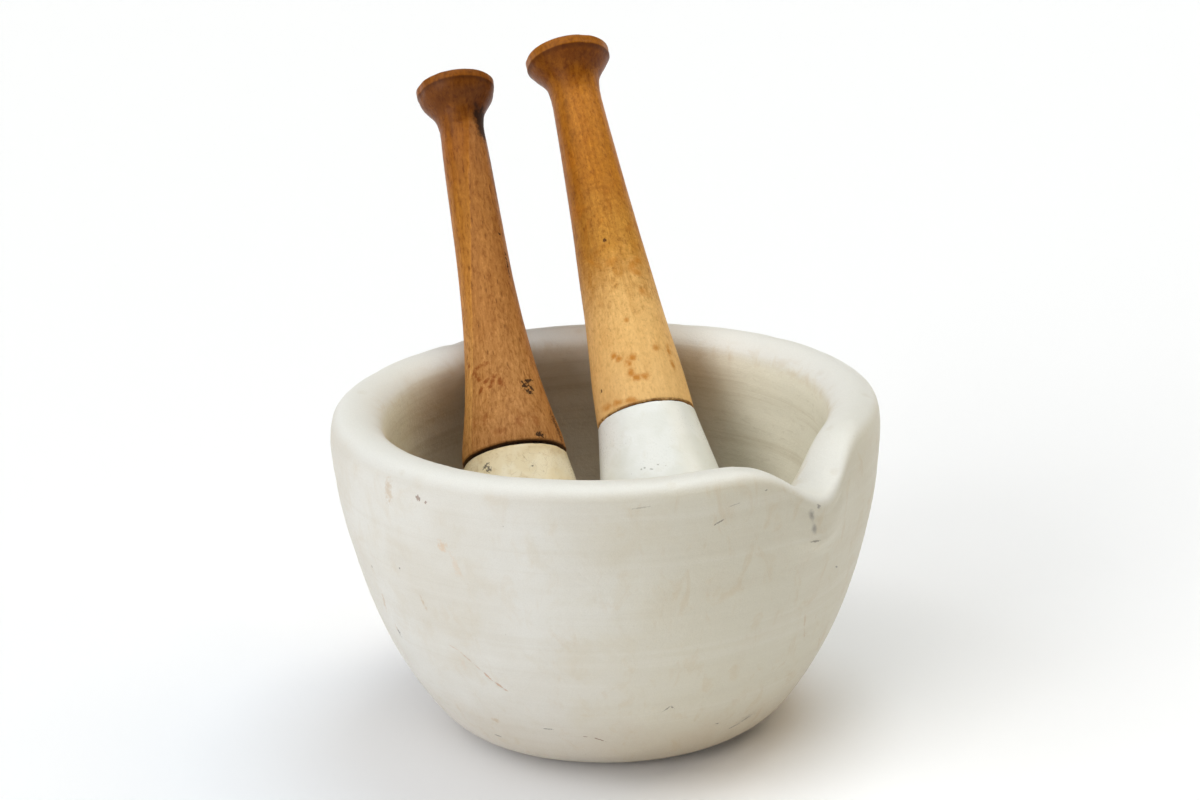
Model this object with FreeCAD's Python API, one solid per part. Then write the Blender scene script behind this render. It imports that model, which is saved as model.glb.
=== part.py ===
"""Apothecary mortar with two pestles.

A heavy unglazed stoneware bowl with a pressed pouring spout, and two pestles,
each a turned wooden handle cemented into a ceramic grinding head.

Frame: origin at the centre of the bowl's foot, +Z up, +X towards the spout.
All sizes are in millimetres.
"""
import FreeCAD
import Part
import math
import os

V = FreeCAD.Vector

# ---------------------------------------------------------------- bowl
RIM_HEIGHT = 155.2          # top of the lip above the foot
RIM_R = 126.7               # largest outer radius, just under the lip
FOOT_R = 61.0               # flat standing face
LIP_OUTER_ROUND = 9.5       # rounding from the lip's ridge to the outer wall
LIP_INNER_ROUND = 14.0      # rounding from the ridge to the inner wall
WALL = 24.5                 # wall thickness at the lip
FLOOR_Z = 28.0              # lowest point of the cavity
CAVITY_POWER = 2.3          # 2 would be an ellipse, more is squarer
CAVITY_LAND_R = 12.0        # small flat land that closes the cavity

# outer wall between the foot's soft corner and the lip: (z, radius)
OUTER_WALL = [(2.2, 70.0), (6.0, 77.6), (11.0, 83.3), (18.0, 88.6), (28.0, 95.2),
              (42.0, 102.9), (62.0, 111.3), (86.0, 118.5), (114.0, 124.4), (132.0, 126.4)]

# ---------------------------------------------------------------- spout
SPOUT_DIP_RIM = 20.0        # how far the lip is pressed down in the middle of the spout
SPOUT_DIP_WALL = 16.0       # the same just inside the lip, where the channel turns down
SPOUT_OUT_WALL = 3.0        # how far the outer wall is pushed outwards
SPOUT_OUT_RIDGE = 9.5       # the ridge goes further, which leaves a thin pouring edge
SPOUT_HALF_OUTER = 9.5      # degrees, half width of the dip at the outer edge
SPOUT_HALF_INNER = 11.5     # degrees, at the inner edge
SPOUT_FADE_OUTER = 100.0    # height where the dip dies out on the outer wall
SPOUT_FADE_INNER = 90.0     # the same on the cavity wall
SPOUT_FADE_PUSH = 75.0      # height where the push outwards dies out
RIDGE = 0.45                # where the ridge lies between outer wall (0) and inner wall (1)

# azimuths of the points on each ring, closer together round the spout
RING_AZIMUTHS = [180, 150, 125, 100, 78, 60, 46, 36, 29, 23, 18, 13.5, 9, 4.5, 0]

# ---------------------------------------------------------------- pestles
CENTRE_FLAT_R = 2.0         # flat left at the lathe's centre on knobs and heads
TENON_R = 11.0
TENON_LENGTH = 34.0
CEMENT_THICK = 1.0          # cement between tenon and socket, all round

# Each pestle rests with its handle on the lip and its head on the cavity's floor.
# The joint centre, the lean and the head's length leave 0.35 mm at both places.
# Outlines run along the pestle's axis from the joint face (0): (height, radius)
RIGHT = {
    "joint_centre": V(-23.66, 54.59, 123.96),
    "lean": 41.2,           # degrees from vertical
    "lean_azimuth": 147.2,  # degrees from +X, the way the knob leans
    "joint_gap": 0.4,
    "cement_inset": 0.25,   # how far the cement ring stays inside the surface
    "shaft": [(22, 22.6), (45, 20.4), (75, 18.2), (110, 15.85), (148, 13.75),
              (172, 12.65), (183.5, 12.8), (190.5, 14.7), (195, 18.0)],
    "joint_r": 23.9,
    "knob_r": 21.3,
    "knob_edge": 199.5,     # lower edge of the rim band
    "knob_band": 4.1,
    "knob_crown": 3.0,
    "head_length": 107.2,
    "head_r": 32.3,
    "head_belly": 30.0,     # height of the widest place above the grinding end
}
LEFT = {
    "joint_centre": V(-57.97, -2.23, 111.23),
    "lean": 39.3,
    "lean_azimuth": 144.6,
    "joint_gap": 1.5,
    "cement_inset": 1.1,
    "shaft": [(9, 24.3), (20, 22.0), (36, 19.1), (60, 16.0), (100, 13.2), (148, 12.0),
              (171, 11.25), (181.5, 11.4), (188, 13.7), (193.5, 17.5)],
    "joint_r": 25.2,
    "knob_r": 19.7,
    "knob_edge": 199.0,
    "knob_band": 3.4,
    "knob_crown": 3.8,
    "head_length": 85.7,
    "head_r": 32.3,
    "head_belly": 28.0,
}


def fade(z, low, high):
    """0 at or below low, 1 at or above high, smooth between."""
    t = min(max((z - low) / (high - low), 0.0), 1.0)
    return t * t * (3.0 - 2.0 * t)


def bell(azimuth, half_width):
    """1 in the middle of the spout, falling to 0 either side."""
    return math.exp(-(azimuth / half_width) ** 2)


def bowl_outline():
    """Stations up the outside, over the lip and down the cavity.

    Each station is (radius, z, inner), where inner runs from 0 on the outer
    wall, over the lip, to 1 on the cavity wall.
    """
    stations = [(FOOT_R, 0.0, 0.0)]
    stations += [(r, z, 0.0) for z, r in OUTER_WALL]

    ridge_r = RIM_R - LIP_OUTER_ROUND
    for angle in (0, 30, 60, 90):
        a = math.radians(angle)
        r = ridge_r + LIP_OUTER_ROUND * math.cos(a)
        z = RIM_HEIGHT - LIP_OUTER_ROUND * (1.0 - math.sin(a))
        stations.append((r, z, RIDGE * angle / 90.0))
    inner_r = RIM_R - WALL
    squash = (ridge_r - inner_r) / LIP_INNER_ROUND
    for angle in (30, 60, 85):
        a = math.radians(angle)
        r = ridge_r - squash * LIP_INNER_ROUND * math.sin(a)
        z = RIM_HEIGHT - LIP_INNER_ROUND * (1.0 - math.cos(a))
        stations.append((r, z, RIDGE + (1.0 - RIDGE) * angle / 85.0))

    top = RIM_HEIGHT - LIP_INNER_ROUND - 6.0
    depth = top - FLOOR_Z
    for share in (0.06, 0.18, 0.32, 0.47, 0.62, 0.75, 0.86, 0.94, 0.985):
        z = top - share * depth
        r = inner_r * (1.0 - share ** CAVITY_POWER) ** (1.0 / CAVITY_POWER)
        stations.append((r, z, 1.0))
    stations.append((CAVITY_LAND_R, FLOOR_Z, 1.0))
    return stations


def bowl_point(radius, z, inner, azimuth):
    """A point of the bowl's surface, with the spout pressed in."""
    past_ridge = max(inner - RIDGE, 0.0) / (1.0 - RIDGE)
    before_ridge = min(inner, RIDGE) / RIDGE
    dip = SPOUT_DIP_RIM + (SPOUT_DIP_WALL - SPOUT_DIP_RIM) * past_ridge
    out = SPOUT_OUT_WALL + (SPOUT_OUT_RIDGE - SPOUT_OUT_WALL) * before_ridge
    out = out * (1.0 - past_ridge)
    half = SPOUT_HALF_OUTER + (SPOUT_HALF_INNER - SPOUT_HALF_OUTER) * inner
    low = SPOUT_FADE_OUTER if inner < RIDGE else SPOUT_FADE_INNER
    press = bell(azimuth, half)
    r = radius + out * press * fade(z, SPOUT_FADE_PUSH, RIM_HEIGHT - 12.0)
    height = z - dip * press * fade(z, low, RIM_HEIGHT - 12.0)
    a = math.radians(azimuth)
    return V(r * math.cos(a), r * math.sin(a), height)


def ring(radius, z, inner):
    """A closed smooth curve round the bowl, starting opposite the spout."""
    azimuths = RING_AZIMUTHS + [-a for a in RING_AZIMUTHS[-2:0:-1]]
    points = [bowl_point(radius, z, inner, a) for a in azimuths]
    steps = [180.0 - a for a in azimuths] + [360.0]
    curve = Part.BSplineCurve()
    curve.interpolate(Points=points, Parameters=steps, PeriodicFlag=True)
    return Part.Wire([curve.toShape()])


def mortar_bowl():
    return Part.makeLoft([ring(*station) for station in bowl_outline()], True, False)


def spline(points):
    """A smooth edge in the XZ plane through (height, radius) points."""
    curve = Part.BSplineCurve()
    curve.interpolate(Points=[V(r, 0, z) for z, r in points])
    return curve.toShape()


def line(a, b):
    return Part.makeLine(V(a[1], 0, a[0]), V(b[1], 0, b[0]))


def arc(a, middle, b):
    return Part.Arc(V(a[1], 0, a[0]), V(middle[1], 0, middle[0]), V(b[1], 0, b[0])).toShape()


def dome(rim, apex):
    """Rounded end from a rim point to the small flat left at the lathe's centre."""
    rise = apex - rim[0]
    radius = (rise * rise + rim[1] * rim[1]) / (2.0 * abs(rise))
    centre = apex - math.copysign(radius, rise)
    outer = math.asin(rim[1] / radius)
    inner = math.asin(CENTRE_FLAT_R / radius)

    def on_ball(angle):
        return (centre + math.copysign(radius * math.cos(angle), rise), radius * math.sin(angle))

    flat = on_ball(inner)
    return [arc(rim, on_ball(0.5 * (outer + inner)), flat), line(flat, (flat[0], 0))]


def turned(edges):
    """A closed outline in the XZ plane turned about Z."""
    face = Part.Face(Part.Wire(Part.__sortEdges__(edges)))
    return face.revolve(V(0, 0, 0), V(0, 0, 1), 360)


def handle(p):
    """Wooden handle: tenon, taper, neck and mushroom knob."""
    foot = p["joint_gap"]
    edge = p["knob_edge"]
    band_top = edge + p["knob_band"]
    crown = band_top + p["knob_crown"]
    knob_r = p["knob_r"]
    shoulder = (foot, p["joint_r"])
    under_rim = (edge, knob_r - 0.2)
    rim_low = (edge + 0.3, knob_r)
    rim_high = (band_top, knob_r)
    rim_in = (band_top + 1.0, knob_r - 1.1)
    crown_end = dome(rim_in, crown)
    crown_z = crown_end[-1].Vertexes[-1].Z
    return turned([
        line((-TENON_LENGTH, 0), (-TENON_LENGTH, TENON_R)),
        line((-TENON_LENGTH, TENON_R), (foot, TENON_R)),
        line((foot, TENON_R), shoulder),
        spline([shoulder] + p["shaft"] + [under_rim]),
        line(under_rim, rim_low),
        line(rim_low, rim_high),
        arc(rim_high, (band_top + 0.67, knob_r - 0.34), rim_in),
        *crown_end,
        line((crown_z, 0), (-TENON_LENGTH, 0)),
    ])


def head(p):
    """Ceramic grinding head with the socket for the handle's tenon."""
    socket_r = TENON_R + CEMENT_THICK
    socket_floor = -TENON_LENGTH - CEMENT_THICK
    end = -p["head_length"]
    belly = end + p["head_belly"]
    top_r = p["joint_r"] - 0.1
    shoulder = 1.6
    side_r = top_r + 0.25
    neck = -0.27 * p["head_length"]
    tip = (end + 2.0, p["head_r"] * 0.45)
    grinding_end = dome(tip, end)
    return turned([
        line((socket_floor, 0), (socket_floor, socket_r)),
        line((socket_floor, socket_r), (0, socket_r)),
        line((0, socket_r), (0, top_r - shoulder + 0.3)),
        arc((0, top_r - shoulder + 0.3), (-0.45, top_r - 0.3), (-shoulder, side_r)),
        spline([(-shoulder, side_r), (neck, 0.45 * top_r + 0.55 * p["head_r"]),
                (belly, p["head_r"]), (belly - 0.62 * p["head_belly"], p["head_r"] * 0.82),
                tip]),
        *grinding_end,
        line((grinding_end[-1].Vertexes[-1].Z, 0), (socket_floor, 0)),
    ])


def cement(p):
    """Cement that fills the socket round the tenon and the joint ring."""
    socket_r = TENON_R + CEMENT_THICK
    floor = -TENON_LENGTH - CEMENT_THICK
    gap = p["joint_gap"]
    ring_r = p["joint_r"] - 1.4 - p["cement_inset"]
    return turned([
        line((floor, 0), (floor, socket_r)),
        line((floor, socket_r), (0, socket_r)),
        line((0, socket_r), (0, ring_r)),
        line((0, ring_r), (gap, ring_r)),
        line((gap, ring_r), (gap, TENON_R)),
        line((gap, TENON_R), (-TENON_LENGTH, TENON_R)),
        line((-TENON_LENGTH, TENON_R), (-TENON_LENGTH, 0)),
        line((-TENON_LENGTH, 0), (floor, 0)),
    ])


def placed(shape, p):
    """Leans a pestle piece from its own axis to where it rests in the bowl."""
    lean = FreeCAD.Rotation(V(0, 1, 0), p["lean"])
    swing = FreeCAD.Rotation(V(0, 0, 1), p["lean_azimuth"])
    moved = shape.copy()
    moved.Placement = FreeCAD.Placement(p["joint_centre"], swing.multiply(lean))
    return moved


def build():
    nodes = {"mortar_bowl": mortar_bowl()}
    for side, p in (("left", LEFT), ("right", RIGHT)):
        nodes[side + "_pestle_handle"] = placed(handle(p), p)
        nodes[side + "_pestle_head"] = placed(head(p), p)
        nodes[side + "_pestle_cement"] = placed(cement(p), p)
    return nodes


def main():
    os.makedirs("parts", exist_ok=True)
    for name, shape in build().items():
        shape.exportStep("parts/" + name + ".step")
        print(name, shape.ShapeType, shape.isValid(), round(shape.Volume / 1000.0, 1), "cm3")


if __name__ == "__main__":
    main()
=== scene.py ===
"""Apothecary mortar of white stoneware with two wooden-handled pestles.

Lengths are in millimetres while a shape is worked out and in metres in Blender.
The frame is the CAD part's: origin at the centre of the foot, +Z up, +X to the spout.
"""
import math

import bpy
import numpy as np
from mathutils import Euler, Matrix, Vector

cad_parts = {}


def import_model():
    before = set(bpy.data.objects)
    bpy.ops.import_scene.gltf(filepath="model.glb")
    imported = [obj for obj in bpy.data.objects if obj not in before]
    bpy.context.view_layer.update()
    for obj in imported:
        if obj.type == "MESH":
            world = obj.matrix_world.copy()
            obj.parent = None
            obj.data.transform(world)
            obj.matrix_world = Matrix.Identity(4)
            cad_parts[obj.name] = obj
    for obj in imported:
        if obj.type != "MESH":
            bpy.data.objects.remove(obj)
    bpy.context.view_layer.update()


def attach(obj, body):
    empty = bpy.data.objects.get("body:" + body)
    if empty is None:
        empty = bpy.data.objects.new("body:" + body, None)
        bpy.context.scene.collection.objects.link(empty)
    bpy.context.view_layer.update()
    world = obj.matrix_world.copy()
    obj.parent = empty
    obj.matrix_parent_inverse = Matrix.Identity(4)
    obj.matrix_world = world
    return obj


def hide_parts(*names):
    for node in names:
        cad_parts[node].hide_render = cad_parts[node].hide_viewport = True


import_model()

MM = 0.001

# ------ sizes, in mm
RIM_HEIGHT, RIM_R, FOOT_R = 155.2, 126.7, 61.0
LIP_OUTER_ROUND, LIP_INNER_ROUND, WALL = 9.5, 14.0, 24.5
FLOOR_Z, CAVITY_POWER, CAVITY_LAND_R = 28.0, 2.3, 12.0
OUTER_WALL = [(2.2, 70.0), (6.0, 77.6), (11.0, 83.3), (18.0, 88.6), (28.0, 95.2),
              (42.0, 102.9), (62.0, 111.3), (86.0, 118.5), (114.0, 124.4), (132.0, 126.4)]
SPOUT_DIP_RIM, SPOUT_DIP_WALL = 20.0, 16.0
SPOUT_OUT_WALL, SPOUT_OUT_RIDGE = 3.0, 9.5
SPOUT_HALF_OUTER, SPOUT_HALF_INNER = 9.5, 11.5
SPOUT_FADE_OUTER, SPOUT_FADE_INNER, SPOUT_FADE_PUSH = 100.0, 90.0, 75.0
RIDGE = 0.45                # where the lip's top lies between outside, 0, and cavity, 1
TENON_R, TENON_LENGTH, CEMENT_THICK = 11.0, 34.0, 1.0

RIGHT = {
    "joint_centre": (-23.66, 54.59, 123.96), "lean": 41.2, "lean_azimuth": 147.2,
    "joint_gap": 0.4, "cement_inset": 0.25, "joint_r": 23.9,
    "shaft": [(22, 22.6), (45, 20.4), (75, 18.2), (110, 15.85), (148, 13.75),
              (172, 12.65), (183.5, 12.8), (190.5, 14.7), (195, 18.0)],
    "knob_r": 21.3, "knob_edge": 199.5, "knob_band": 4.1, "knob_crown": 3.0,
    "head_length": 107.2, "head_r": 32.3, "head_belly": 30.0,
    "handle_seed": 90, "head_seed": 150, "cement_seed": 210, "worn": 0.12, "ripple": 0.05,
    # bruises of the wood: (height, degrees from the front, radius, depth)
    "bruises": [(90.6, -4, 1.5, 0.3), (160, -34, 4.0, 0.2), (128, 40, 3.0, 0.25),
                (66, 60, 4.0, 0.3), (36, -60, 4.0, 0.25), (110, 150, 4.0, 0.3),
                (50, -150, 4.0, 0.3), (3, -48, 3.0, 0.5), (201, -70, 3.0, 0.4),
                (201, 30, 2.6, 0.3), (201, 150, 3.0, 0.4)],
}
LEFT = {
    "joint_centre": (-57.97, -2.23, 111.23), "lean": 39.3, "lean_azimuth": 144.6,
    "joint_gap": 1.5, "cement_inset": 1.1, "joint_r": 25.2,
    "shaft": [(9, 24.3), (20, 22.0), (36, 19.1), (60, 16.0), (100, 13.2), (148, 12.0),
              (171, 11.25), (181.5, 11.4), (188, 13.7), (193.5, 17.5)],
    "knob_r": 19.7, "knob_edge": 199.0, "knob_band": 3.4, "knob_crown": 3.8,
    "head_length": 85.7, "head_r": 32.3, "head_belly": 28.0,
    "handle_seed": 60, "head_seed": 120, "cement_seed": 180, "worn": 0.22, "ripple": 0.07,
    "bruises": [(140, -20, 2.6, 0.25), (118, 58, 3.0, 0.3), (92, 66, 4.0, 0.3),
                (64, -48, 4.0, 0.3), (48, 120, 5.0, 0.35), (30, 40, 3.0, 0.2),
                (14, 74, 4.0, 0.45), (152, 140, 3.0, 0.3), (190, -10, 2.4, 0.2),
                (200, -60, 2.6, 0.4), (200, 100, 3.0, 0.4)],
}
FACE_TURN = 165.0           # turns a pestle's own X axis towards the front of the object


# ------ numbers
def noise3(points, seed=0):
    """Smooth noise between about -1 and 1 at each point, one lattice cell per unit."""
    points = np.asarray(points, float)
    cell = np.floor(points).astype(np.int64)
    part = points - cell
    ease = part ** 3 * (part * (part * 6.0 - 15.0) + 10.0)
    total = np.zeros(len(points))
    for corner in np.ndindex(2, 2, 2):
        i = cell + corner
        h = (i[:, 0] * 73856093) ^ (i[:, 1] * 19349663) ^ (i[:, 2] * 83492791) ^ (seed * 9176)
        h = ((h & 0xFFFFFFFF) ^ ((h & 0xFFFFFFFF) >> 13)) * 1274126177
        h = ((h & 0xFFFFFFFF) ^ ((h & 0xFFFFFFFF) >> 16)) & 0xFFFF
        weight = np.prod(np.where(corner, ease, 1.0 - ease), axis=1)
        total += weight * (h / 32767.5 - 1.0)
    return total


def layered(points, seed=0, octaves=3, rough=0.5):
    """Noise in layers, each finer and fainter than the one before."""
    total, size, scale = 0.0, 1.0, 1.0
    for k in range(octaves):
        total = total + size * noise3(np.asarray(points) * scale, seed + 31 * k)
        size, scale = size * rough, scale * 2.03
    return total


def fade(value, low, high):
    """Eases from 0 at low to 1 at high."""
    t = np.clip((value - low) / (high - low), 0.0, 1.0)
    return t * t * (3.0 - 2.0 * t)


def spline(points, spacing):
    """Natural cubic spline through the points, sampled at about the spacing given."""
    points = np.asarray(points, float)
    steps = np.linalg.norm(np.diff(points[:, :2], axis=0), axis=1)
    n = len(points)
    a, b = np.zeros((n, n)), np.zeros_like(points)
    a[0, 0] = a[-1, -1] = 1.0
    for i in range(1, n - 1):
        a[i, i - 1:i + 2] = steps[i - 1], 2 * (steps[i - 1] + steps[i]), steps[i]
        b[i] = 6 * ((points[i + 1] - points[i]) / steps[i]
                    - (points[i] - points[i - 1]) / steps[i - 1])
    bend = np.linalg.solve(a, b)
    out = []
    for i, h in enumerate(steps):
        count = max(1, int(round(h / (spacing(points[i]) if callable(spacing) else spacing))))
        t = np.arange(count)[:, None] * h / count
        out.append(bend[i] * (h - t) ** 3 / (6 * h) + bend[i + 1] * t ** 3 / (6 * h)
                   + (points[i] / h - bend[i] * h / 6) * (h - t)
                   + (points[i + 1] / h - bend[i + 1] * h / 6) * t)
    return np.vstack(out + [points[-1:]])


# ------ meshes
def placed(name, data):
    """A new object in the scene."""
    thing = bpy.data.objects.new(name, data)
    bpy.context.scene.collection.objects.link(thing)
    return thing


def skin(name, rings, first, last):
    """A closed smooth mesh through rings of equal length, from one pole point to the other."""
    rows, columns = rings.shape[:2]
    points = np.vstack([rings.reshape(-1, 3), [first], [last]]) * MM
    i, j = np.meshgrid(np.arange(rows - 1), np.arange(columns), indexing="ij")
    k = (j + 1) % columns
    quads = np.stack([i * columns + j, i * columns + k,
                      (i + 1) * columns + k, (i + 1) * columns + j], -1).reshape(-1, 4)
    j = np.arange(columns)
    k = (j + 1) % columns
    low, high = rows * columns, rows * columns + 1
    end = (rows - 1) * columns
    fans = [(low, b, a) for a, b in zip(j, k)] + [(high, end + a, end + b) for a, b in zip(j, k)]
    mesh = bpy.data.meshes.new(name)
    mesh.from_pydata(points.tolist(), [], quads.tolist() + [tuple(map(int, f)) for f in fans])
    mesh.shade_smooth()
    mesh.update()
    return placed(name, mesh)


def push_out(rings, height):
    """Moves each point of the rings along the surface normal by its height in mm."""
    across = np.roll(rings, -1, 1) - np.roll(rings, 1, 1)
    along = np.gradient(rings, axis=0)
    normal = np.cross(across, along)
    normal /= np.maximum(np.linalg.norm(normal, axis=2, keepdims=True), 1e-9)
    return rings + normal * height[..., None]


def note(thing, name, values):
    """Keeps a number per vertex for the material; the two poles repeat their neighbours."""
    values = np.append(values.reshape(-1), [values.reshape(-1)[0], values.reshape(-1)[-1]])
    layer = thing.data.attributes.new(name, "FLOAT", "POINT")
    layer.data.foreach_set("value", values.astype(np.float32))


# ------ mortar
def bowl_outline():
    """Stations (radius, z, inner): inner runs 0 outside, over the lip, to 1 in the cavity."""
    stations = [(FOOT_R, 0.0, 0.0)] + [(r, z, 0.0) for z, r in OUTER_WALL]
    ridge_r, inner_r = RIM_R - LIP_OUTER_ROUND, RIM_R - WALL
    for angle in (0, 30, 60, 90):
        a = math.radians(angle)
        stations.append((ridge_r + LIP_OUTER_ROUND * math.cos(a),
                         RIM_HEIGHT - LIP_OUTER_ROUND * (1.0 - math.sin(a)), RIDGE * angle / 90))
    for angle in (30, 60, 85):
        a = math.radians(angle)
        stations.append((ridge_r - (ridge_r - inner_r) * math.sin(a),
                         RIM_HEIGHT - LIP_INNER_ROUND * (1.0 - math.cos(a)),
                         RIDGE + (1.0 - RIDGE) * angle / 85))
    top = RIM_HEIGHT - LIP_INNER_ROUND - 6.0
    for share in (0.06, 0.18, 0.32, 0.47, 0.62, 0.75, 0.86, 0.94, 0.985):
        stations.append((inner_r * (1.0 - share ** CAVITY_POWER) ** (1.0 / CAVITY_POWER),
                         top - share * (top - FLOOR_Z), 1.0))
    return stations + [(CAVITY_LAND_R, FLOOR_Z, 1.0)]


def bowl_points(radius, z, inner, azimuth):
    """Points of the bowl's surface, with the spout pressed in."""
    past = np.maximum(inner - RIDGE, 0.0) / (1.0 - RIDGE)
    before = np.minimum(inner, RIDGE) / RIDGE
    dip = SPOUT_DIP_RIM + (SPOUT_DIP_WALL - SPOUT_DIP_RIM) * past
    out = (SPOUT_OUT_WALL + (SPOUT_OUT_RIDGE - SPOUT_OUT_WALL) * before) * (1.0 - past)
    half = SPOUT_HALF_OUTER + (SPOUT_HALF_INNER - SPOUT_HALF_OUTER) * inner
    low = np.where(inner < RIDGE, SPOUT_FADE_OUTER, SPOUT_FADE_INNER)
    press = np.exp(-(azimuth / half) ** 2)
    r = radius + out * press * fade(z, SPOUT_FADE_PUSH, RIM_HEIGHT - 12.0)
    height = z - dip * press * fade(z, low, RIM_HEIGHT - 12.0)
    a = np.radians(azimuth)
    return np.stack([r * np.cos(a), r * np.sin(a), height], -1)


def bowl_spacing(station):
    """Rings lie closest over the lip and widest in the cavity."""
    radius, z, inner = station
    if 0.0 < inner < 1.0 or z > 140.0:
        return 0.85
    return 1.35 if inner == 0.0 else 2.3


OUTLINE = spline(bowl_outline(), bowl_spacing)
OUTLINE[:, 2] = np.clip(OUTLINE[:, 2], 0.0, 1.0)


def on_wall(azimuth, z):
    """The point of the outer wall at an azimuth and height, for placing marks."""
    part = OUTLINE[OUTLINE[:, 2] <= RIDGE]
    points = bowl_points(part[:, 0], part[:, 1], part[:, 2], azimuth)
    return np.array([np.interp(z, points[:, 2], points[:, k]) for k in range(3)])


def on_lip(azimuth, inner):
    """The point of the lip at an azimuth and a share of the way over it."""
    part = OUTLINE[(OUTLINE[:, 2] > 0.0) & (OUTLINE[:, 2] < 1.0)]
    radius, z = (np.interp(inner, part[:, 2], part[:, k]) for k in (0, 1))
    return bowl_points(radius, z, inner, azimuth)


# nicks on the lip: (azimuth, place over the lip, radius, depth)
NICKS = [(-118, 0.86, 3.0, 0.5), (-108, 0.93, 2.6, 0.55), (-101, 0.9, 2.4, 0.5),
         (-93, 0.2, 2.6, 0.35), (-62, 0.75, 3.2, 0.3), (-34, 0.3, 2.8, 0.35), (-17, 0.5, 3.0, 0.4),
         (6, 0.42, 2.8, 0.5), (17, 0.62, 3.4, 0.4), (38, 0.35, 3.0, 0.4), (61, 0.7, 3.2, 0.45),
         (88, 0.4, 3.4, 0.5), (112, 0.3, 3.8, 0.55), (139, 0.6, 3.4, 0.45), (171, 0.35, 3.6, 0.6),
         (-146, 0.5, 3.4, 0.45), (-163, 0.25, 3.6, 0.4)]


def mortar():
    u = np.linspace(-1.0, 1.0, 337)[:-1]
    azimuth = 180.0 * (u - 0.55 * np.sin(np.pi * u) / np.pi)
    foot = np.array([(6.0, 0.9, 0.0), (20.0, 0.9, 0.0), (36.0, 0.9, 0.0), (50.0, 0.85, 0.0),
                     (53.5, 0.55, 0.0), (56.0, 0.12, 0.0), (58.5, 0.0, 0.0)])
    stations = np.vstack([foot, OUTLINE])
    radius, z, inner = (stations[:, k][:, None] for k in range(3))
    rings = bowl_points(radius, z, inner, azimuth[None, :] + 0.0 * radius)
    inner = inner + 0.0 * azimuth[None, :]
    z = z + 0.0 * azimuth[None, :]
    flat = rings.reshape(-1, 3)
    shape = rings.shape[:2]

    # hand-thrown unevenness: out of round, soft hollows, tool bands round the wall
    turn = np.arctan2(flat[:, 1], flat[:, 0])
    lap = np.stack([np.cos(turn), np.sin(turn), 0 * turn], -1)
    relief = 0.30 * layered(lap * 1.3 + [0, 0, 5.0] + flat * [0, 0, 0.006], 3, 2)
    relief += 0.22 * layered(flat / 34.0, 11, 3)
    wander = flat[:, 2] + 1.6 * noise3(lap * 2.2, 17)
    bands = noise3(np.stack([wander / 5.2, 0 * turn, 0 * turn], -1) + lap * 0.12, 23)
    bands += 0.55 * noise3(np.stack([wander / 2.1, 0 * turn, 0 * turn], -1) + lap * 0.2, 29)
    relief += 0.055 * bands * (1 - fade(inner.reshape(-1), 0.05, 0.5))
    relief += 0.09 * bands * fade(inner.reshape(-1), 0.8, 1.0)
    relief += 0.05 * layered(flat / 7.0, 41, 2)

    chips = np.zeros(len(flat))
    for turn_deg, over, size, depth in NICKS:
        gap = np.linalg.norm((flat - on_lip(float(turn_deg), over)) * [1, 1, 1.2], axis=1)
        gap *= 1.0 + 0.35 * noise3(flat / 1.9, int(turn_deg) + 400)
        bite = np.exp(-(gap / size) ** 2)
        relief -= depth * bite
        chips = np.maximum(chips, bite)
    relief *= fade(flat[:, 2], 0.3, 6.0) * 0.92 + 0.08 * (flat[:, 2] > 0.3)
    rings = push_out(rings, relief.reshape(shape))
    rings[..., 2] = np.maximum(rings[..., 2], 0.0)

    thing = skin("mortar_bowl_stoneware", rings, (0, 0, 0.9), (0, 0, FLOOR_Z + 0.2))
    note(thing, "inner", inner)
    note(thing, "chip", chips.reshape(shape))
    return thing


# ------ pestles
def pestle_frame(p):
    """A pestle's own axes: Z up its axis, X towards the front of the object."""
    turn = Matrix.Rotation(math.radians(p["lean_azimuth"]), 3, "Z")
    lean = Matrix.Rotation(math.radians(p["lean"]), 3, "Y")
    return turn @ lean @ Matrix.Rotation(math.radians(FACE_TURN), 3, "Z")


def turned(name, p, outline, columns, relief):
    """A body turned round the pestle's axis from an outline of (height, radius) points."""
    outline = np.asarray(outline, float)
    angle = np.linspace(-math.pi, math.pi, columns + 1)[:-1]
    rings = np.stack([outline[:, 1, None] * np.cos(angle), outline[:, 1, None] * np.sin(angle),
                      outline[:, 0, None] + 0 * angle], -1)
    ends = [(0, 0, outline[0, 0]), (0, 0, outline[-1, 0])]
    rings = push_out(rings, relief(rings.reshape(-1, 3)).reshape(rings.shape[:2]))
    basis = np.array(pestle_frame(p))
    place = np.array(p["joint_centre"])
    first, last = (basis @ np.array(e) + place for e in ends)
    return skin(name, rings @ basis.T + place, first, last)


def ball_cap(rim, apex, count):
    """Points of a shallow dome from a rim point to a small ring round the apex."""
    rise = apex - rim[0]
    radius = (rise * rise + rim[1] * rim[1]) / (2.0 * abs(rise))
    start = math.asin(rim[1] / radius)
    angles = np.linspace(start, 0.7 / radius, count + 1)[1:]
    centre = apex - math.copysign(radius, rise)
    return [(centre + math.copysign(radius * math.cos(a), rise), radius * math.sin(a))
            for a in angles]


def path(*corners):
    """Points along straight runs, from (height, radius, steps to the next corner) rows."""
    points = []
    for (h0, r0, count), (h1, r1, _) in zip(corners, corners[1:]):
        points += [(h0 + (h1 - h0) * k / count, r0 + (r1 - r0) * k / count) for k in range(count)]
    return points


def dents(flat, where, seed):
    """Shallow bruises: (height, degrees from the front, radius, depth)."""
    total = np.zeros(len(flat))
    for height, degrees, size, depth in where:
        a = math.radians(degrees)
        r = np.hypot(flat[:, 0], flat[:, 1])
        spot = np.stack([r * math.cos(a), r * math.sin(a), 0 * r + height], -1)
        gap = np.linalg.norm((flat - spot) * [1, 1, 0.6], axis=1)
        gap *= 1.0 + 0.3 * noise3(flat / 2.3, seed + int(height))
        total -= depth * np.exp(-(gap / size) ** 2)
    return total


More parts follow.
